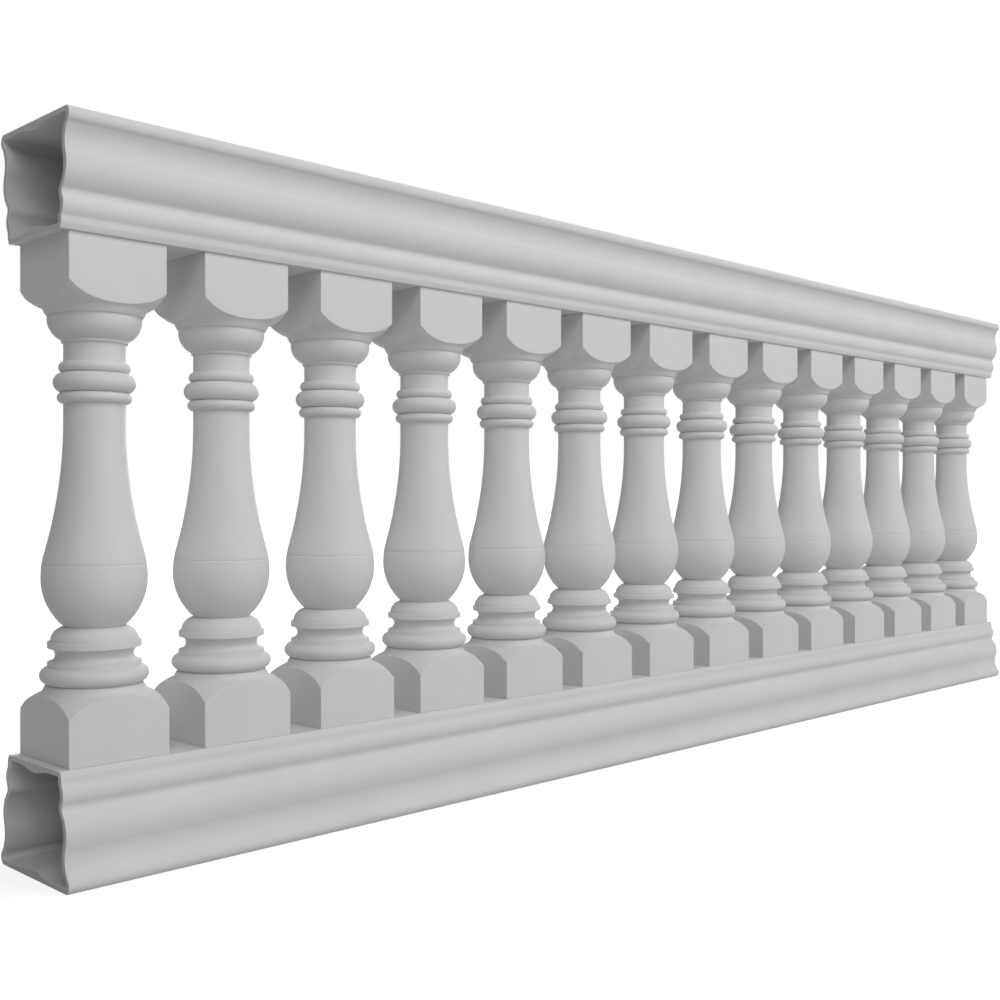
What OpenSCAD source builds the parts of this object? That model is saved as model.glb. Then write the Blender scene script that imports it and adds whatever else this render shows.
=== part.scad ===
// Fiberglass balustrade: a straight panel of turned balusters standing between two moulded rails.
// +X runs along the panel, +Y is its depth and +Z is up. Z = 0 is the underside of the bottom rail,
// and the origin lies at the middle of the panel's length and depth. Millimetres.

/* [Panel] */
// Height from the floor to the top of the top rail
panel_h = 914.4; // [820:0.1:1100]
// Length of both rails
rail_l = 2540; // [1960:1:3200]
// Number of balusters in the panel
baluster_count = 14; // [2:1:17]
// Rail left beyond the outermost block at each end
end_margin = 12.7; // [5:0.1:60]

/* [Rail] */
// Height of one rail
rail_h = 139.7; // [133:0.1:170]
// Thickness of the laminate in the flat walls
rail_wall = 6.4; // [3:0.1:10]
// Thickness of the laminate in the moulded sides
side_wall = 8.2; // [3:0.1:12]
// Ledge of rail left beside a block
seat_ledge = 3.5; // [1:0.1:12]
// Width of the stiffening swell along the middle of the flat walls
stiffener_w = 76; // [20:1:100]
// How far the stiffening swell stands into the hollow
stiffener_d = 5.1; // [1:0.1:12]

/* [Block] */
// Side of the square block at each end of a baluster
block_w = 132.4; // [118:0.1:148]
// Height of the block's square sides at their corners
block_h = 56.8; // [30:0.1:80]
// How much less the block at the top stands out on its +X side
top_block_trim = 3.8; // [0:0.1:8]
// Radius of the domed shoulder that rises from the block's corners
shoulder_r = 55.7; // [46:0.1:90]
// Pitch of the shoulder at its inner edge, in degrees
shoulder_pitch = 20; // [8:0.5:28]
// How far the shoulder's inner edge lies inside the block's face
shoulder_set_in = 0.6; // [0.2:0.1:2]
// Radius of the hollow at the foot of the ogee between the shoulder and the turned part
ogee_hollow_r = 7; // [5:0.1:8]
// Radius of the swell that ends the ogee
ogee_swell_r = 25; // [18:0.1:40]
// Lean of the ogee, off the vertical, where its hollow turns into its swell, in degrees
ogee_lean = 21; // [10:0.5:25]
// How far the ogee's inner edge lies inside the block's face
ogee_set_in = 8.2; // [7:0.1:13]
// Height of the fine groove that parts the ogee from the roll or the bowl
ogee_groove_h = 1.4; // [0.8:0.1:3]
// Depth of that groove, inside the ogee's inner edge
ogee_groove_d = 1.8; // [0.6:0.1:4]

/* [Turned base] */
// Reach of the base roll from the axis
base_roll_reach = 65.6; // [60:0.1:66]
// Radius of the base roll
base_roll_r = 10.3; // [6:0.1:14]
// Reach of the fillet under the scotia
low_fillet_reach = 56.4; // [52:0.1:62]
// Height of the fillet under the scotia
low_fillet_h = 6.4; // [2:0.1:10]
// Radius of the scotia
scotia_r = 8.8; // [8.7:0.1:11]
// Height of the scotia
scotia_h = 17.4; // [8:0.1:17.6]
// Reach of the scotia's waist from the axis
scotia_waist = 47.1; // [42:0.1:50]
// Reach of the fillet over the scotia
high_fillet_reach = 56.3; // [54:0.1:62]
// Height of the fillet over the scotia
high_fillet_h = 7.7; // [2:0.1:14]
// Reach of the ovolo that carries the belly
ovolo_reach = 53; // [48:0.1:55]
// Radius of the ovolo that carries the belly
ovolo_r = 18.2; // [15:0.1:22]

/* [Vase] */
// Waist between the ovolo and the belly, from the axis
waist_reach = 36.7; // [35:0.1:42]
// Widest reach of the belly from the axis
belly_reach = 64; // [56:0.1:66]
// Radius of the belly's curve below its widest line
belly_low_r = 80.7; // [60:0.1:110]
// Radius of the belly's curve above its widest line
belly_high_r = 117.6; // [90:0.1:140]
// Reach of the shaft where it runs straight
shaft_reach = 37.4; // [32:0.1:42]
// Height of the straight shaft under the rings
collar_h = 22.9; // [4:0.1:30]
// Height of the scribed line above the belly's widest line
scribe_rise = 16.7; // [6:0.1:28]
// Width of the scribed line
scribe_w = 1.4; // [0.6:0.1:3]
// Depth of the scribed line
scribe_d = 0.7; // [0.3:0.1:1.5]

/* [Rings and capital] */
// Reach of the lower ring
low_ring_reach = 44.9; // [42:0.1:50]
// Radius of the lower ring
low_ring_r = 7; // [4:0.1:10]
// Reach of the middle ring
mid_ring_reach = 49.7; // [46:0.1:56]
// Radius of the middle ring
mid_ring_r = 12.4; // [8:0.1:16]
// Reach of the upper ring
high_ring_reach = 43.3; // [41:0.1:49]
// Radius of the upper ring
high_ring_r = 7; // [4:0.1:10]
// Height of the plain neck over the rings
neck_h = 23.5; // [8:0.1:40]
// Reach of the fillet under the bowl
bowl_fillet_reach = 40; // [38:0.1:44]
// Height of the fillet under the bowl
bowl_fillet_h = 3.5; // [1:0.1:10]
// Radius of the bowl
bowl_r = 28.1; // [24:0.1:36]
// Reach of the bowl's rim
bowl_reach = 56.9; // [52:0.1:58]
// Height of the bowl's plain rim
bowl_rim_h = 2.9; // [0.5:0.1:6]

/* [Hidden] */
// Side moulding of a rail, from its wide face to its narrow one. Each member is an arc:
// [depth of its crest from the wide face, crest's projection past the narrow face, radius,
//  depth where it starts, depth where it ends, 1 for a swell or -1 for a hollow]
nosing = [9.5, 22.9, 10.3, 0, 17.9, 1];
cove = [39.5, 11.8, 37, 20.5, 53.5, -1];
swell = [65.5, 16.3, 38, 58, 91, 1];
quirk = [97, 4, 10, 92.5, 101, -1];
bead = [111.5, 7.9, 19, 105, 121, 1];
foot = [129, 3, 24, 124, 129, -1];
rail_members = [nosing, cove, swell, quirk, bead, foot];
// Height over which the last member draws in to the narrow face
foot_taper_h = 7.2;
// Fewest steps along an arc, and the most degrees that one of them turns
arc_steps = 8;
step_turn = 9;
// Steps along a long curve and across the stiffening swell
long_steps = 14;
stiffener_steps = 12;
// A roll stops short of a half circle by this many degrees at each side, so grooves stay shallow
roll_stop = 15;
// How far the turned outline reaches past the block's corner before the square trims it
corner_cover = 1;
// Points of an outline that lie closer than this are one point
same_point = 0.001;
round_fn = 96;

baluster_h = panel_h - 2 * rail_h;
narrow_half = block_w / 2 + seat_ledge;
baluster_pitch = (rail_l - 2 * end_margin - block_w) / (baluster_count - 1);

corner_reach = block_w / sqrt(2);
shoulder_in = block_w / 2 - shoulder_set_in;
shoulder_axis = shoulder_in - shoulder_r * sin(shoulder_pitch);
shoulder_z = block_h - sqrt(shoulder_r ^ 2 - (corner_reach - shoulder_axis) ^ 2);
shoulder_start = acos((corner_reach + corner_cover - shoulder_axis) / shoulder_r);
shoulder_top = shoulder_z + shoulder_r * cos(shoulder_pitch);

// The ogee's hollow is tangent to the shoulder, and its swell is tangent to the hollow.
hollow_reach = shoulder_in + ogee_hollow_r * sin(shoulder_pitch);
hollow_z = shoulder_top + ogee_hollow_r * cos(shoulder_pitch);
ogee_swell_reach = hollow_reach - (ogee_hollow_r + ogee_swell_r) * cos(ogee_lean);
ogee_swell_z = hollow_z - (ogee_hollow_r + ogee_swell_r) * sin(ogee_lean);
ogee_end = acos((block_w / 2 - ogee_set_in - ogee_swell_reach) / ogee_swell_r);
groove_reach = block_w / 2 - ogee_set_in - ogee_groove_d;
groove_z = ogee_swell_z + ogee_swell_r * sin(ogee_end);
end_h = groove_z + ogee_groove_h;

base_roll_top = end_h + roll_height(base_roll_r);
low_fillet_top = base_roll_top + low_fillet_h;
scotia_top = low_fillet_top + scotia_h;
high_fillet_top = scotia_top + high_fillet_h;
ovolo_end = acos((waist_reach - ovolo_reach + ovolo_r) / ovolo_r);
waist_z = high_fillet_top + ovolo_r * sin(ovolo_end);
belly_start = acos((waist_reach - belly_reach + belly_low_r) / belly_low_r);
belly_z = waist_z + belly_low_r * sin(belly_start);

rim_z = baluster_h - end_h - bowl_rim_h;
bowl_start = acos((bowl_fillet_reach - bowl_reach + bowl_r) / bowl_r);
bowl_z = rim_z - bowl_r * sin(bowl_start);
neck_top = bowl_z - bowl_fillet_h;
high_ring_z = neck_top - neck_h - roll_height(high_ring_r);
mid_ring_z = high_ring_z - roll_height(mid_ring_r);
low_ring_z = mid_ring_z - roll_height(low_ring_r);

// The flare is one long hollow arc, tangent to the belly below it and to the straight shaft above it.
flare_top = low_ring_z - collar_h;
flare_h = flare_top - belly_z;
belly_offset = shaft_reach - belly_reach + belly_high_r;
flare_r = (belly_offset ^ 2 + flare_h ^ 2 - belly_high_r ^ 2) / (2 * (belly_high_r - belly_offset));
flare_turn = asin(flare_h / (flare_r + belly_high_r));
scribe_turn = asin(scribe_rise / belly_high_r);
scribe_half_turn = asin(scribe_w / 2 / belly_high_r);

function baluster_name(i) = str("baluster_", i < 10 ? "0" : "", i);

// Steps along an arc that turns this many degrees
function steps_along(turn) = max(arc_steps, ceil(abs(turn) / step_turn));

// A point on a circle about [reach, z], with 0 degrees pointing out from the axis and 90 pointing up,
// and the points of an arc of that circle
function on_circle(reach, z, r, a) = [reach + r * cos(a), z + r * sin(a)];
function arc(reach, z, r, from, to, fewest = arc_steps) =
    let (steps = max(fewest, steps_along(to - from)))
    [for (i = [0:steps]) on_circle(reach, z, r, from + (to - from) * i / steps)];

// A roll is a convex moulding of nearly half a circle that stands on height z
function roll_height(r) = 2 * r * cos(roll_stop);
function roll(z, reach, r) =
    arc(reach - r, z + r * cos(roll_stop), r, roll_stop - 90, 90 - roll_stop);

// Points of one rail member as [depth from the wide face, distance from the rail's mid-plane]
function member(m, inset) =
    let (a0 = asin((m[3] - m[0]) / m[2]), a1 = asin((m[4] - m[0]) / m[2]), steps = steps_along(a1 - a0))
    [for (i = [0:steps]) let (a = a0 + (a1 - a0) * i / steps)
        [m[0] + m[2] * sin(a), narrow_half + m[1] - m[5] * m[2] * (1 - cos(a)) - inset]];

// One side of the rail between two depths, drawn inset from its outer face
function rail_side(inset, first, last) =
    let (points = concat(
        [for (m = rail_members) each member(m, inset)],
        [[rail_h - foot_taper_h, narrow_half + foot[1] - inset], [rail_h, narrow_half - inset]]))
    concat(
        [[first, lookup(first, points)]],
        [for (p = points) if (p[0] > first + same_point && p[0] < last - same_point) p],
        [[last, lookup(last, points)]]);

// The stiffening swell, from +Y to -Y, as [depth into the hollow, distance from the mid-plane]
function stiffener(depth, side) =
    [for (i = [0:stiffener_steps]) let (t = i / stiffener_steps)
        [depth + side * stiffener_d * (1 - cos(360 * t)) / 2, stiffener_w * (0.5 - t)]];

function mirrored(points) = [for (i = [len(points) - 1:-1:0]) [points[i][0], -points[i][1]]];
function reversed(points) = [for (i = [len(points) - 1:-1:0]) points[i]];

// Seen along the rail, with the wide face at depth 0
module rail_section() {
    outer = rail_side(0, 0, rail_h);
    hollow = rail_side(side_wall, rail_wall, rail_h - rail_wall);
    difference() {
        polygon(concat(outer, mirrored(outer)));
        polygon(concat(hollow, stiffener(rail_h - rail_wall, -1), mirrored(hollow),
            reversed(stiffener(rail_wall, 1))));
    }
}

// A rail along X with its wide face at Z = 0
module rail() {
    color("gainsboro")
        rotate([0, -90, 0])
            linear_extrude(height = rail_l, center = true)
                rail_section();
}

module bottom_rail() {
    rail();
}

module top_rail() {
    translate([0, 0, panel_h]) mirror([0, 0, 1]) rail();
}

// Outline of one end of a baluster, from the seat up: block, shoulder, ogee and its groove
function end_outline() = concat(
    [[0, 0], [corner_reach + corner_cover, 0]],
    arc(shoulder_axis, shoulder_z, shoulder_r, shoulder_start, 90 - shoulder_pitch),
    arc(hollow_reach, hollow_z, ogee_hollow_r, 270 - shoulder_pitch, 180 + ogee_lean),
    arc(ogee_swell_reach, ogee_swell_z, ogee_swell_r, ogee_lean, ogee_end),
    [[groove_reach, groove_z], [groove_reach, end_h]]);

function base_outline() = concat(
    roll(end_h, base_roll_reach, base_roll_r),
    [[low_fillet_reach, base_roll_top], [low_fillet_reach, low_fillet_top]],
    let (a = asin(scotia_h / 2 / scotia_r))
    arc(scotia_waist + scotia_r, low_fillet_top + scotia_h / 2, scotia_r, 180 + a, 180 - a),
    [[high_fillet_reach, scotia_top], [high_fillet_reach, high_fillet_top]],
    arc(ovolo_reach - ovolo_r, high_fillet_top, ovolo_r, 0, ovolo_end));

function vase_outline() = concat(
    arc(belly_reach - belly_low_r, belly_z, belly_low_r, -belly_start, 0, long_steps),
    arc(belly_reach - belly_high_r, belly_z, belly_high_r, 0, scribe_turn - scribe_half_turn),
    [on_circle(belly_reach - belly_high_r, belly_z, belly_high_r - scribe_d, scribe_turn)],
    arc(belly_reach - belly_high_r, belly_z, belly_high_r, scribe_turn + scribe_half_turn, flare_turn),
    arc(shaft_reach + flare_r, flare_top, flare_r, 180 + flare_turn, 180, long_steps));

function capital_outline() = concat(
    [[shaft_reach, low_ring_z]],
    roll(low_ring_z, low_ring_reach, low_ring_r),
    roll(mid_ring_z, mid_ring_reach, mid_ring_r),
    roll(high_ring_z, high_ring_reach, high_ring_r),
    [[shaft_reach, neck_top - neck_h], [shaft_reach, neck_top], [bowl_fillet_reach, neck_top]],
    arc(bowl_reach - bowl_r, rim_z, bowl_r, -bowl_start, 0, long_steps));

// A baluster standing on Z = 0: one turned outline, trimmed by the square of its blocks
module baluster() {
    top_end = [for (p = reversed(end_outline())) [p[0], baluster_h - p[1]]];
    color("gainsboro")
        intersection() {
            rotate_extrude($fn = round_fn)
                polygon(concat(end_outline(), base_outline(), vase_outline(), capital_outline(), top_end));
            union() {
                half_column(0, block_w);
                half_column(baluster_h / 2, block_w - top_block_trim);
            }
        }
}

// Half of the square column that a baluster is trimmed to, from height z up
module half_column(z, x_size) {
    translate([-block_w / 2, -block_w / 2, z]) cube([x_size, block_w, baluster_h / 2]);
}

// Each baluster stands on the narrow face of the bottom rail and carries that of the top rail
module baluster_at(i) {
    translate([(i - (baluster_count + 1) / 2) * baluster_pitch, 0, rail_h]) baluster();
}

bottom_rail();
top_rail();
for (i = [1:baluster_count]) baluster_at(i);
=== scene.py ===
"""Looks of a fiberglass balustrade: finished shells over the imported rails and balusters.

Each shell follows its CAD node's own outline, which is read from the frame. Its arcs are drawn out
smooth and its edges are eased, as a mould leaves them. Metres, +X along the panel, +Z up.
"""

import math

import bpy
import numpy as np
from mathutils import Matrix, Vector
from mathutils.geometry import tessellate_polygon


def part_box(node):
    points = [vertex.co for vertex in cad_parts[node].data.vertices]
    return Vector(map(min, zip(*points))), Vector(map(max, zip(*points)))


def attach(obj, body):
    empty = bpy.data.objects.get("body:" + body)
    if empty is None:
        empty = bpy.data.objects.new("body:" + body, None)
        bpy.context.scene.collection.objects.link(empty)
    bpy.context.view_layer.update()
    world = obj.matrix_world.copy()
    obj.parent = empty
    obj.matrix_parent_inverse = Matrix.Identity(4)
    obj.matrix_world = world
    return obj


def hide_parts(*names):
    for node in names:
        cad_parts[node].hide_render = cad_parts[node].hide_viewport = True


MM = 0.001
TINY = 0.002 * MM
# Decimals of a metre to which the frame's places are read, and at which a shell's points are one
READ_DECIMALS = 6
MERGE_DECIMALS = 7

# How far an edge is eased to each side, on the blocks, the turned work and the rails
BLOCK_EASE = 0.8 * MM
TURNED_EASE = 0.35 * MM
RAIL_EASE = 0.8 * MM
# A bend sharper than this is an edge. A softer one belongs to an arc.
TURNED_EDGE = math.radians(14)
RAIL_EDGE = math.radians(13)
# The mesh gets a row for each bend of this much and each stretch of this length, and bends are
# measured at this many places over the reach of an edge's easing
ROW_BEND = math.radians(13)
ROW_LENGTH = 18 * MM
BEND_PLACES = 4
# Points drawn along each stretch of an arc, and points averaged to ease an edge
ARC_POINTS = 8
EASE_POINTS = 17

# How much the rails' cut ends are rounded and in how many steps, and the bays a rail is drawn in
END_ROUND = 0.6 * MM
END_STEPS = 3
RAIL_BAYS = 28
# How far a cut end's straight edges are bent in while its triangles are chosen
END_BEND = 0.5 * MM
# Rounding of the blocks' vertical corners, and columns of mesh round a corner and over a side
CORNER_ROUND = 1.0 * MM
CORNER_STEPS = 4
FACE_COLUMNS = 16
# Bays of mesh on a block's side and from its arched edge to the turned rows, and where rows lie
# across an edge, as shares of its easing
WALL_BAYS = 4
DOME_BAYS = 12
EASE_SHARES = np.array([-1, -0.35, 0.35, 1])
# How far in on the seat a block's column starts, and how deep in the hollow the turned rows begin
SEAT_LEAD = 4 * MM
JOIN_DEPTH = 1.2 * MM

# Numbers of the finishes on a shell, and their colours
GELCOAT, LAMINATE, CUT = 0, 1, 2
GELCOAT_DARK, GELCOAT_LIGHT = (0.645, 0.645, 0.645), (0.685, 0.685, 0.685)
LAMINATE_DARK, LAMINATE_LIGHT = (0.62, 0.62, 0.62), (0.66, 0.66, 0.66)
# The cut ends' two greys are darker than the laminate's. That darkness is painted shade of the end
# faces; their strands are the laminate's own.
CUT_SHADED_DARK, CUT_SHADED_PALE = (0.5, 0.5, 0.5), (0.54, 0.54, 0.54)
# Relief of the gelcoat's soft waves and its orange peel, and of the laminate's strands and lumps
WAVE_RELIEF, PEEL_RELIEF = 0.25 * MM, 0.03 * MM
STRAND_RELIEF, LUMP_RELIEF = 0.08 * MM, 0.15 * MM
# The laminate's strands: their size, and the turns in radians of the three layers of them
STRAND_LENGTH = 24 * MM
STRAND_WIDTH = 0.9 * MM
STRAND_TURNS = (0.4, 1.5, 2.7)

# How strongly the matte finishes and the floor mirror what is round them
MATTE_SPECULAR = 0.1

# The photograph's view: level, at the panel's mid-height, looking along it at 45 degrees
CAMERA_PLACE = (-1.9333, -1.4547, 0.4572)
CAMERA_TURN = (math.radians(90), 0, math.radians(-45))
CAMERA_LENS = 44.75
CAMERA_SENSOR = 36
CAMERA_SHIFT = (0.00207, -0.0002)

FLOOR_REACH = 30
FLOOR_COLOR = (0.6, 0.6, 0.6)
FLOOR_ROUGHNESS = 0.9
FLOOR_GLOW = 0.7
WORLD_LIGHT = 0.12
# The lamps far off: name, bearing from +X and height in degrees, and strength
SUNS = [
    ("near_end", -120, 35, 0.63),
    ("low_front", -60, 5, 0.97),
    ("far_end", 30, 20, 2.75),
]
SUN_SOFTNESS = math.radians(40)
# The panel overhead, in front of the balustrade: its place, what it faces, its size and its watts
PANEL_PLACE = (0, -2.2, 3.2)
PANEL_AIM = (0, 0, 0.6)
PANEL_SIZE = (6, 1)
PANEL_WATTS = 57


# ---------------------------------------------------------------- outlines read from the frame


def mesh_arrays(node):
    """Corner points and faces of a CAD node."""
    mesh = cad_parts[node].data
    return np.array([v.co for v in mesh.vertices]), [tuple(p.vertices) for p in mesh.polygons]


def read_place(point):
    """A point as plain numbers, alike for all points that share the place."""
    return tuple(float(c) for c in np.round(point, READ_DECIMALS))


def chained(pairs):
    """The lines that pairs of neighbouring points link up, each as a list of points."""
    near = {}
    for a, b in pairs:
        if a != b:
            near.setdefault(a, set()).add(b)
            near.setdefault(b, set()).add(a)
    lines = []
    while near:
        ends = sorted(p for p, n in near.items() if len(n) == 1)
        here = ends[0] if ends else min(near)
        line = [here]
        while here in near:
            following = sorted(p for p in near.pop(here) if p in near)
            if following:
                here = following[0]
                line.append(here)
        lines.append(np.array(line))
    return lines


def bent_points(line, slack=TINY):
    """The points at which a line of many points really bends."""
    span = line[-1] - line[0]
    from_start = line - line[0]
    off = np.abs(span[0] * from_start[:, 1] - span[1] * from_start[:, 0]) / np.linalg.norm(span)
    far = int(off.argmax())
    if off[far] < slack:
        return [line[0], line[-1]]
    return bent_points(line[: far + 1], slack)[:-1] + bent_points(line[far:], slack)


def rail_loops(node):
    """The rail's outer outline and its hollow's, as closed lines of (y, z), anticlockwise."""
    points, faces = mesh_arrays(node)
    near_end = points[:, 0] < points[:, 0].min() + TINY
    pairs = []
    for face in faces:
        ends = [i for i in face if near_end[i]]
        if len(ends) == 2:
            pairs.append([read_place(points[i, 1:]) for i in ends])
    loops = sorted(chained(pairs), key=lambda loop: -np.ptp(loop[:, 1]))
    return [loop if signed_area(loop) > 0 else loop[::-1] for loop in loops]


def signed_area(loop):
    after = np.roll(loop, -1, 0)
    return (loop[:, 0] * after[:, 1] - loop[:, 1] * after[:, 0]).sum() / 2


def turned_outline(node):
    """The turned outline as (reach, height over the seat), from block corner to block corner."""
    points, faces = mesh_arrays(node)
    low, high = points.min(0), points.max(0)
    height = high[2] - low[2]
    axis = (low[0] + high[0]) / 2
    half = (high[1] - low[1]) / 2
    reach = np.hypot(points[:, 0] - axis, points[:, 1])
    rise = points[:, 2] - low[2]
    on_seam = (np.abs(points[:, 1]) < TINY) & (points[:, 0] > axis)
    places = [read_place(p) for p in np.column_stack([reach, rise])]
    pairs = []
    for face in faces:
        for a, b in zip(face, face[1:] + face[:1]):
            if on_seam[a] and on_seam[b]:
                pairs.append((places[a], places[b]))
    seam = chained(pairs)[0]
    seam = seam if seam[0][1] < seam[-1][1] else seam[::-1]
    on_dome = (reach > half - TINY) & (rise > TINY) & (rise < height / 2)
    dome = np.column_stack([reach, rise])[on_dome]
    dome = dome[np.argsort(-dome[:, 0])]
    dome = bent_points(np.vstack([dome, seam[1:2]]))
    lower = np.vstack([dome[:-1], seam[1:-1]])
    upper = [(r, height - z) for r, z in lower[::-1] if z < height - lower[-1][1] - TINY]
    return np.vstack([lower, upper])


# ---------------------------------------------------------------- drawing an outline out


def smooth_line(points, edge, closed=False):
    """The outline with its arcs drawn out, as rows of x, y and the outward normal's x and y.

    Bends sharper than edge stay edges. Each place where two stretches meet has a row for both.
    """
    points = np.asarray(points)
    following = np.roll(points, -1, 0)
    chords = following - points
    lengths = np.linalg.norm(chords, axis=1)
    units = chords / lengths[:, None]
    before = np.roll(units, 1, 0)
    turns = before[:, 0] * units[:, 1] - before[:, 1] * units[:, 0]
    is_edge = np.abs(np.arctan2(turns, (before * units).sum(1))) > edge
    if not closed:
        is_edge[0] = is_edge[-1] = True
    tangents = units / lengths[:, None] + before / np.roll(lengths, 1)[:, None]
    tangents /= np.linalg.norm(tangents, axis=1)[:, None]
    t = np.linspace(0, 1, ARC_POINTS + 1)[:, None]
    rows = []
    for i in range(len(points) if closed else len(points) - 1):
        j = (i + 1) % len(points)
        unit, length = units[i], lengths[i]
        leaving = unit if is_edge[i] else tangents[i]
        arriving = unit if is_edge[j] else tangents[j]
        if is_edge[i] and not is_edge[j]:
            leaving = 2 * (arriving @ unit) * unit - arriving
        if is_edge[j] and not is_edge[i]:
            arriving = 2 * (leaving @ unit) * unit - leaving
        place = ((2 * t**3 - 3 * t**2 + 1) * points[i] + (3 * t**2 - 2 * t**3) * following[i]
                 + (t**3 - 2 * t**2 + t) * leaving * length + (t**3 - t**2) * arriving * length)
        heading = (6 * (t - t**2) * chords[i] + (3 * t**2 - 4 * t + 1) * leaving * length
                   + (3 * t**2 - 2 * t) * arriving * length)
        heading /= np.linalg.norm(heading, axis=1)[:, None]
        rows.append(np.column_stack([place, heading[:, 1], -heading[:, 0]]))
    return np.vstack(rows)


def distances(line):
    """How far along the line each of its rows lies."""
    steps = np.linalg.norm(np.diff(line[:, :2], axis=0), axis=1)
    return np.concatenate([[0], np.cumsum(steps)])


def eased(line, at, ease):
    """The line's rows at the given distances, each the mean of the stretch within ease of it."""
    along = distances(line)
    spots = np.asarray(at)[:, None] + np.linspace(-ease, ease, EASE_POINTS)
    return np.column_stack([np.interp(spots, along, part).mean(1) for part in line.T])


def row_places(line, start, end, ease, bays=None):
    """Distances along the line at which the mesh gets a row: closer where the line bends more."""
    at = np.append(np.arange(start, end, ease / BEND_PLACES), end)
    normals = eased(line, at, ease)[:, -2:]
    headings = np.unwrap(np.arctan2(normals[:, 1], normals[:, 0]))
    steps = np.abs(np.diff(headings)) / ROW_BEND + np.diff(at) / ROW_LENGTH
    needed = np.concatenate([[0], np.cumsum(steps)])
    bays = bays or math.ceil(needed[-1])
    return np.interp(np.linspace(0, needed[-1], bays + 1), needed, at)


def eased_loop(points, edge, ease):
    """A closed outline as the mesh follows it, with its arcs smooth and its edges eased."""
    line = smooth_line(points, edge, closed=True)
    length = distances(line)[-1]
    start = 2 * ease
    places = row_places(np.vstack([line, line]), start, start + length, ease)[:-1]
    return eased(np.vstack([line, line]), places, ease)


# ---------------------------------------------------------------- shells


def merged(points, faces):
    """The faces on the first of the points that share a place, without those that shrank away."""
    _, first, same = np.unique(np.round(points, MERGE_DECIMALS), axis=0,
                               return_index=True, return_inverse=True)
    stands_for = first[same.reshape(-1)]
    kept = []
    for corners, finish in faces:
        corners = [int(stands_for[i]) for i in corners]
        corners = [c for k, c in enumerate(corners) if c != corners[k - 1]]
        if len(corners) > 2:
            kept.append((corners, finish))
    return kept


def shell_mesh(name, points, normals, faces, finishes):
    """A smooth mesh from points, their normals, and faces as (corners, number of the finish)."""
    points, normals = np.asarray(points), np.asarray(normals)
    faces = merged(points, faces)
    used = sorted({i for corners, _ in faces for i in corners})
    place = {old: new for new, old in enumerate(used)}
    mesh = bpy.data.meshes.new(name)
    numbered = [[place[i] for i in corners] for corners, _ in faces]
    mesh.from_pydata(points[used].tolist(), [], numbered)
    for finish in finishes:
        mesh.materials.append(finish)
    mesh.polygons.foreach_set("material_index", [number for _, number in faces])
    mesh.polygons.foreach_set("use_smooth", [True] * len(faces))
    mesh.update()
    normals = normals[used] / np.linalg.norm(normals[used], axis=1)[:, None]
    mesh.normals_split_custom_set_from_vertices(normals.tolist())
    return mesh


def add_shell(mesh, node, location=(0, 0, 0)):
    """Shows a shell in place of a CAD node."""
    shell = bpy.data.objects.new(f"{node}_shell", mesh)
    scene.collection.objects.link(shell)
    shell.location = location
    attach(shell, "root")
    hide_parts(node)


def rail_stations(low_x, high_x):
    """Places along a rail as x, how far the outline is drawn in, and the tilt of the normal."""
    tilts = [math.pi / 2 * k / END_STEPS for k in range(END_STEPS)]
    rounding = [(END_ROUND * (1 - math.cos(t)), END_ROUND * (1 - math.sin(t)), t) for t in tilts]
    straight = np.linspace(low_x + END_ROUND, high_x - END_ROUND, RAIL_BAYS + 1)
    return ([(low_x + x, inset, math.pi - t) for x, inset, t in rounding]
            + [(x, 0, math.pi / 2) for x in straight]
            + [(high_x - x, inset, t) for x, inset, t in reversed(rounding)])


def end_faces(points, normals, rings):
    """The flat cut end between the outer ring of points and the hollow's."""
    numbers = rings[0] + rings[1]
    flat = [[Vector((points[i][1], points[i][2], 0)) for i in ring] for ring in rings]
    # The straight edges are bent in while the triangles are chosen, so that none lies along one
    low, high = min(p.y for p in flat[0]), max(p.y for p in flat[0])
    half = max(abs(p.x) for p in flat[0])
    for p in flat[0]:
        if min(p.y - low, high - p.y) < TINY:
            p.y += math.copysign(END_BEND * (1 - (p.x / half) ** 2), low + high - 2 * p.y)
    faces = []
    for triangle in tessellate_polygon(flat):
        corners = [numbers[i] for i in triangle]
        a, b, c = (np.array(points[i]) for i in corners)
        faces_out = np.cross(b - a, c - a)[0] * normals[corners[0]][0] > 0
        faces.append((corners if faces_out else corners[::-1], CUT))
    return faces


def rail_mesh(node, finishes):
    """A rail's shell: its outer outline and its hollow's, drawn along X and joined by cut ends."""
    low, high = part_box(node)
    stations = rail_stations(low.x, high.x)
    points, normals, faces, near_rings, far_rings = [], [], [], [], []
    for loop, side in zip(rail_loops(node), (1, -1)):
        section = eased_loop(loop, RAIL_EDGE, RAIL_EASE)
        outline = section[:, :2]
        out = side * section[:, 2:] / np.linalg.norm(section[:, 2:], axis=1)[:, None]
        first, count = len(points), len(section)
        for x, inset, tilt in stations:
            points += [(x, *p) for p in outline - inset * out]
            normals += [(math.cos(tilt), *n) for n in out * math.sin(tilt)]
        for a in range(first, len(points) - count, count):
            for i in range(count):
                j = (i + 1) % count
                quad = (a + i, a + j, a + count + j, a + count + i)
                faces.append((quad[::side], GELCOAT if side > 0 else LAMINATE))
        near_rings.append(list(range(first, first + count)))
        far_rings.append(list(range(len(points) - count, len(points))))
    faces += end_faces(points, normals, near_rings) + end_faces(points, normals, far_rings)
    return shell_mesh(f"{node}_shell", points, normals, faces, finishes)


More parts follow.
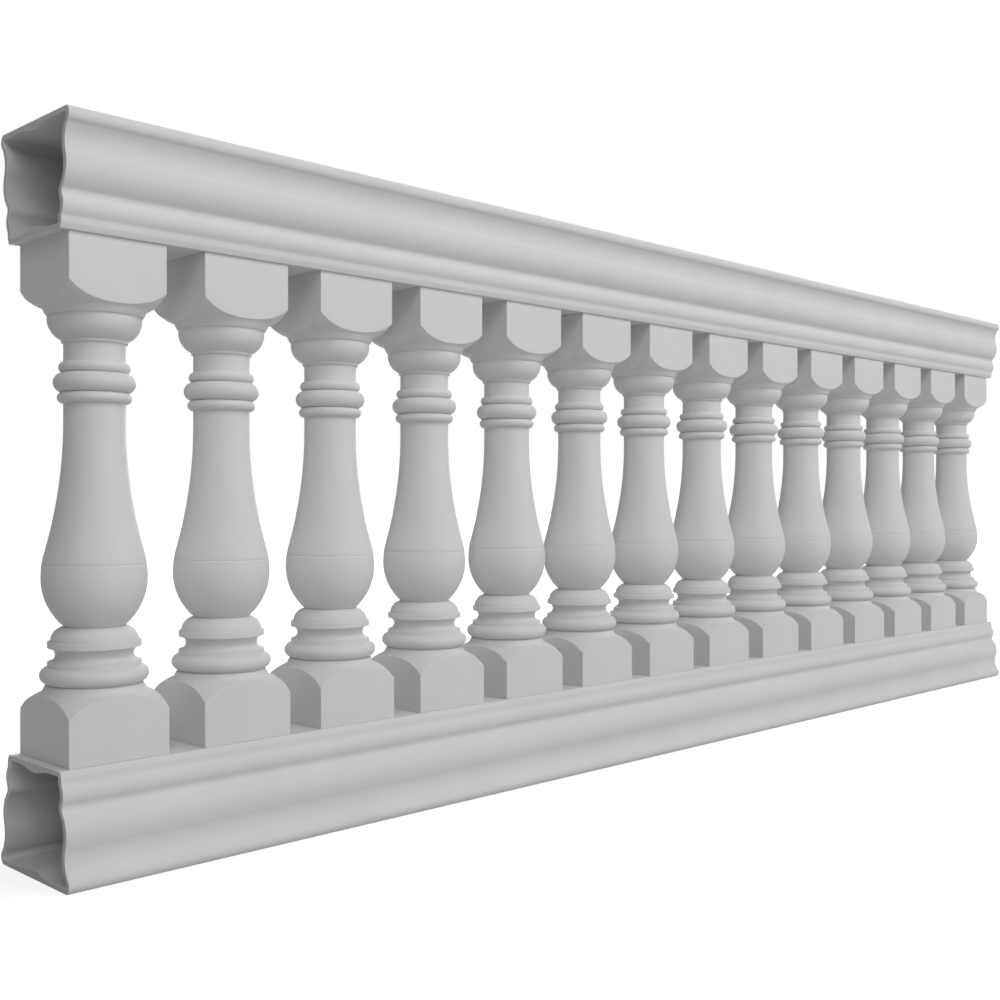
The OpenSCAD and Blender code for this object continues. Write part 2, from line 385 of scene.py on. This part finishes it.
def block_outline(right, left, depth):
    """A block's square with rounded corners, as each column's angle, reach and facing."""
    quarter = math.pi / 2
    arcs = []
    for k, (x, y) in enumerate([(right, depth), (-left, depth), (-left, -depth), (right, -depth)]):
        centre = np.array([x - math.copysign(CORNER_ROUND, x), y - math.copysign(CORNER_ROUND, y)])
        facing = quarter * (k + np.arange(CORNER_STEPS + 1) / CORNER_STEPS)
        arc = centre + CORNER_ROUND * np.column_stack([np.cos(facing), np.sin(facing)])
        arcs.append(np.column_stack([np.arctan2(arc[:, 1], arc[:, 0]), np.hypot(*arc.T), facing]))
    rows = []
    for k, side in enumerate([depth, left, depth, right]):
        start, end = arcs[k][-1, 0], arcs[(k + 1) % 4][0, 0]
        facing = quarter * (k + 1)
        angles = start + (end - start) % (4 * quarter) * np.arange(1, FACE_COLUMNS) / FACE_COLUMNS
        reaches = side / np.cos(angles - facing)
        rows += [arcs[k], np.column_stack([angles, reaches, np.full(len(angles), facing)])]
    rows = np.vstack(rows)
    rows[:, 0] = np.unwrap(rows[:, 0])
    return rows


def block_rows(line, reach, join_at):
    """One column of a block: seat, side, arched edge, dome, and the hollow up to the turned rows.

    Its rows are reach, height and the normal's three shares: block side, turned work, upward.
    """
    along = distances(line)
    in_dome = along < join_at
    start = float(np.interp(-reach, -line[in_dome, 0], along[in_dome]))
    beyond = (along > start + TINY) & (along < join_at + 2 * BLOCK_EASE)
    on_dome = [np.interp(start, along, part) for part in line.T]
    turned = np.vstack([on_dome, line[beyond]])
    arch_z = on_dome[1]
    column = np.vstack([
        [(reach - SEAT_LEAD, 0, 0, 0, -1), (reach, 0, 0, 0, -1)],
        [(reach, 0, 1, 0, 0), (reach, arch_z, 1, 0, 0)],
        np.insert(turned, 2, 0, axis=1),
    ])
    arch = SEAT_LEAD + arch_z
    places = [
        SEAT_LEAD + BLOCK_EASE * EASE_SHARES,
        np.linspace(SEAT_LEAD + BLOCK_EASE, arch - BLOCK_EASE, WALL_BAYS + 1)[1:-1],
        arch + BLOCK_EASE * EASE_SHARES,
        row_places(column, arch + BLOCK_EASE, arch + join_at - start, BLOCK_EASE, DOME_BAYS)[1:],
    ]
    return eased(column, np.concatenate(places), BLOCK_EASE)


def baluster_mesh(node, finish):
    """A baluster's shell about its own axis, standing on Z = 0."""
    points, _ = mesh_arrays(node)
    low, high = points.min(0), points.max(0)
    height, half = float(high[2] - low[2]), float(high[1] - low[1]) / 2
    top_right = float(points[points[:, 2] > high[2] - TINY, 0].max() - (low[0] + high[0]) / 2)
    line = smooth_line(turned_outline(node), TURNED_EDGE)
    along = distances(line)
    join_at = float(along[int(np.argmax(line[:, 0] < top_right - JOIN_DEPTH))])
    places = row_places(line, join_at, along[-1] - join_at, TURNED_EASE)
    turned = np.insert(eased(line, places[1:-1], TURNED_EASE), 2, 0, axis=1)
    columns, directions = [], []
    for lower, upper in zip(block_outline(half, half, half), block_outline(top_right, half, half)):
        bottom = block_rows(line, lower[1], join_at)
        top = block_rows(line, upper[1], join_at)[::-1] * [1, -1, 1, 1, -1]
        top[:, 1] += height
        rows = np.vstack([bottom, turned, top])
        # The lower block's column becomes the upper one's over the middle half of the height
        share = np.clip(2 * rows[:, 1] / height - 0.5, 0, 1)
        angle = lower[0] + (upper[0] - lower[0]) * share
        facing = lower[2] + (upper[2] - lower[2]) * share
        reach, z, side, radial, up = rows.T
        columns.append(np.column_stack([reach * np.cos(angle), reach * np.sin(angle), z]))
        directions.append(np.column_stack([
            side * np.cos(facing) + radial * np.cos(angle),
            side * np.sin(facing) + radial * np.sin(angle), up]))
    grid = np.array(columns)
    wide, tall = grid.shape[:2]
    faces = [((i * tall + k, j * tall + k, j * tall + k + 1, i * tall + k + 1), GELCOAT)
             for i in range(wide) for j in [(i + 1) % wide] for k in range(tall - 1)]
    faces.append(([i * tall for i in reversed(range(wide))], GELCOAT))
    faces.append(([i * tall + tall - 1 for i in range(wide)], GELCOAT))
    return shell_mesh("baluster_shell", grid.reshape(-1, 3), np.array(directions).reshape(-1, 3),
                      faces, [finish])


# ---------------------------------------------------------------- finishes


class Nodes:
    """The node tree of a material or world, with short ways to add to it."""

    def __init__(self, owner):
        owner.use_nodes = True
        self.tree = owner.node_tree

    def add(self, kind, **settings):
        node = self.tree.nodes.new(kind)
        for name, value in settings.items():
            setattr(node, name, value)
        return node

    def join(self, source, socket):
        self.tree.links.new(source, socket)

    def maths(self, operation, first, second):
        node = self.add("ShaderNodeMath", operation=operation)
        self.join(first, node.inputs[0])
        self.join(second, node.inputs[1])
        return node.outputs[0]

    def seen_rays(self):
        """1 for the rays of the camera, reflections and clear things, 0 for all others."""
        path = self.add("ShaderNodeLightPath").outputs
        seen = self.maths("MAXIMUM", path["Is Camera Ray"], path["Is Glossy Ray"])
        return self.maths("MAXIMUM", seen, path["Is Transmission Ray"])


class Finish(Nodes):
    """A node-based material: its shader, and short ways to add texture nodes."""

    def __init__(self, name):
        self.material = bpy.data.materials.new(name)
        super().__init__(self.material)
        self.shader = self.tree.nodes["Principled BSDF"]
        self.shader.inputs["Specular IOR Level"].default_value = MATTE_SPECULAR
        self.place = self.add("ShaderNodeTexCoord").outputs["Object"]

    def noise(self, scale, detail=2, place=None):
        """Cloudy noise from 0 to 1. Scale is the number of clouds in a metre."""
        node = self.add("ShaderNodeTexNoise")
        node.inputs["Scale"].default_value = scale
        node.inputs["Detail"].default_value = detail
        self.join(place or self.place, node.inputs["Vector"])
        return node.outputs["Fac"]

    def strands(self, angle, length, width):
        """Noise drawn out into strands of that length and width, turned by angle."""
        node = self.add("ShaderNodeMapping")
        node.inputs["Rotation"].default_value = (angle, angle / 2, angle)
        node.inputs["Scale"].default_value = (1 / length, 1 / width, 1 / width)
        self.join(self.place, node.inputs["Vector"])
        return self.noise(1, 1, node.outputs["Vector"])

    def ranged(self, source, low, high, start=0.3, end=0.7):
        """The source, stretched so that start becomes low and end becomes high."""
        node = self.add("ShaderNodeMapRange")
        limits = {"From Min": start, "From Max": end, "To Min": low, "To Max": high}
        for name, value in limits.items():
            node.inputs[name].default_value = value
        self.join(source, node.inputs["Value"])
        return node.outputs["Result"]

    def color(self, source, dark, light):
        """Colours the surface between two colours by a source from 0 to 1."""
        node = self.add("ShaderNodeMix", data_type="RGBA")
        node.inputs["A"].default_value = (*dark, 1)
        node.inputs["B"].default_value = (*light, 1)
        self.join(source, node.inputs["Factor"])
        self.join(node.outputs["Result"], self.shader.inputs["Base Color"])

    def roughness(self, source, low, high):
        """Lets the roughness follow a source, from low to high."""
        self.join(self.ranged(source, low, high), self.shader.inputs["Roughness"])

    def relief(self, heights):
        """Raises the surface by sources from 0 to 1, each given with its height."""
        normal = None
        for source, height in heights:
            node = self.add("ShaderNodeBump")
            node.inputs["Distance"].default_value = height
            self.join(source, node.inputs["Height"])
            if normal:
                self.join(normal, node.inputs["Normal"])
            normal = node.outputs["Normal"]
        self.join(normal, self.shader.inputs["Normal"])


def gelcoat_finish():
    """Pale grey gelcoat as it leaves the mould: matte, faintly clouded, with an orange peel."""
    finish = Finish("gelcoat")
    clouds = finish.ranged(finish.noise(scale=9, detail=4), low=0, high=0.75)
    specks = finish.ranged(finish.noise(scale=700), low=0, high=0.25)
    finish.color(finish.maths("ADD", clouds, specks), GELCOAT_DARK, GELCOAT_LIGHT)
    finish.roughness(finish.noise(scale=35, detail=3), low=0.6, high=0.7)
    waves, peel = finish.noise(scale=11, detail=1), finish.noise(scale=260)
    finish.relief([(waves, WAVE_RELIEF), (peel, PEEL_RELIEF)])
    return finish.material


def laminate_finish(name, dark, light):
    """Bare glass-fibre laminate, as in the hollow and on the cut ends: grey, with strands."""
    finish = Finish(name)
    strands = finish.strands(STRAND_TURNS[0], STRAND_LENGTH, STRAND_WIDTH)
    for turn in STRAND_TURNS[1:]:
        others = finish.strands(turn, STRAND_LENGTH, STRAND_WIDTH)
        strands = finish.maths("MAXIMUM", strands, others)
    finish.color(finish.ranged(strands, low=0, high=1, start=0.45, end=0.75), dark, light)
    finish.roughness(strands, low=0.75, high=0.6)
    finish.relief([(strands, STRAND_RELIEF), (finish.noise(scale=60), LUMP_RELIEF)])
    return finish.material


# ---------------------------------------------------------------- stage


def add_camera():
    """The camera that takes the photograph's view."""
    camera = bpy.data.cameras.new("camera")
    camera.lens = CAMERA_LENS
    camera.sensor_width = CAMERA_SENSOR
    camera.shift_x, camera.shift_y = CAMERA_SHIFT
    holder = bpy.data.objects.new("camera", camera)
    holder.location = CAMERA_PLACE
    holder.rotation_euler = CAMERA_TURN
    scene.collection.objects.link(holder)
    scene.camera = holder


def add_floor():
    """A plain pale floor. It is seen white where it is lit, and it keeps the shadow."""
    corners = [(x * FLOOR_REACH, y * FLOOR_REACH, 0)
               for x, y in ((-1, -1), (1, -1), (1, 1), (-1, 1))]
    mesh = bpy.data.meshes.new("floor")
    mesh.from_pydata(corners, [], [(0, 1, 2, 3)])
    floor = bpy.data.objects.new("floor", mesh)
    scene.collection.objects.link(floor)
    material = bpy.data.materials.new("floor")
    nodes = Nodes(material)
    shader = nodes.tree.nodes["Principled BSDF"]
    shader.inputs["Base Color"].default_value = (*FLOOR_COLOR, 1)
    shader.inputs["Roughness"].default_value = FLOOR_ROUGHNESS
    shader.inputs["Specular IOR Level"].default_value = MATTE_SPECULAR
    shader.inputs["Emission Color"].default_value = (1, 1, 1, 1)
    glow = nodes.add("ShaderNodeMath", operation="MULTIPLY")
    glow.inputs[1].default_value = FLOOR_GLOW
    nodes.join(nodes.seen_rays(), glow.inputs[0])
    nodes.join(glow.outputs[0], shader.inputs["Emission Strength"])
    mesh.materials.append(material)


def add_world():
    """Even light from all round, and white where the camera or a reflection sees it."""
    scene.world = bpy.data.worlds.new("world")
    nodes = Nodes(scene.world)
    light = nodes.tree.nodes["Background"]
    light.inputs["Color"].default_value = (1, 1, 1, 1)
    light.inputs["Strength"].default_value = WORLD_LIGHT
    white = nodes.add("ShaderNodeBackground")
    white.inputs["Color"].default_value = (1, 1, 1, 1)
    mix = nodes.add("ShaderNodeMixShader")
    nodes.join(nodes.seen_rays(), mix.inputs[0])
    nodes.join(light.outputs[0], mix.inputs[1])
    nodes.join(white.outputs[0], mix.inputs[2])
    nodes.join(mix.outputs[0], nodes.tree.nodes["World Output"].inputs[0])


def add_lamp(name, kind, place, aim, strength):
    """A lamp at a place, facing what it aims at, which the camera doesn't see."""
    lamp = bpy.data.lights.new(name, kind)
    lamp.energy = strength
    holder = bpy.data.objects.new(name, lamp)
    holder.location = place
    holder.rotation_euler = (Vector(place) - Vector(aim)).to_track_quat("Z", "Y").to_euler()
    holder.visible_camera = False
    scene.collection.objects.link(holder)
    return lamp


def add_sun(name, turn, height, strength):
    """A soft light from far away, at turn degrees about Z from +X and height degrees up."""
    turn, height = math.radians(turn), math.radians(height)
    flat = math.cos(height)
    place = (math.cos(turn) * flat, math.sin(turn) * flat, math.sin(height))
    add_lamp(name, "SUN", place, (0, 0, 0), strength).angle = SUN_SOFTNESS


def add_panel():
    """A long soft box overhead, in front of the balustrade."""
    panel = add_lamp("panel", "AREA", PANEL_PLACE, PANEL_AIM, PANEL_WATTS)
    panel.shape = "RECTANGLE"
    panel.size, panel.size_y = PANEL_SIZE


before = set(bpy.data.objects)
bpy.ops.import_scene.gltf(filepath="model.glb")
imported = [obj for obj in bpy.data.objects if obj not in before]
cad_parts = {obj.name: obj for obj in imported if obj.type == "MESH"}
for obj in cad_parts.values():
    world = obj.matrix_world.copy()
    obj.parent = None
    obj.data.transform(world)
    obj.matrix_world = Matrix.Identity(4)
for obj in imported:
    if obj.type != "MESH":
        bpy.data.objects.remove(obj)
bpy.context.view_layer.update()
scene = bpy.context.scene
scene.view_settings.view_transform = "Standard"

add_camera()
add_floor()
add_world()
add_panel()
for sun in SUNS:
    add_sun(*sun)

gelcoat = gelcoat_finish()
laminate = laminate_finish("laminate", LAMINATE_DARK, LAMINATE_LIGHT)
# The cut ends take the laminate's strands in darker greys, which are painted shade.
shaded_cut_laminate = laminate_finish("shaded_cut_laminate", CUT_SHADED_DARK, CUT_SHADED_PALE)
for node in ("bottom_rail", "top_rail"):
    add_shell(rail_mesh(node, [gelcoat, laminate, shaded_cut_laminate]), node)
balusters = sorted(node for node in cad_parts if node.startswith("baluster_"))
turned_shell = baluster_mesh(balusters[0], gelcoat)
for node in balusters:
    low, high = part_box(node)
    add_shell(turned_shell, node, ((low.x + high.x) / 2, 0, low.z))
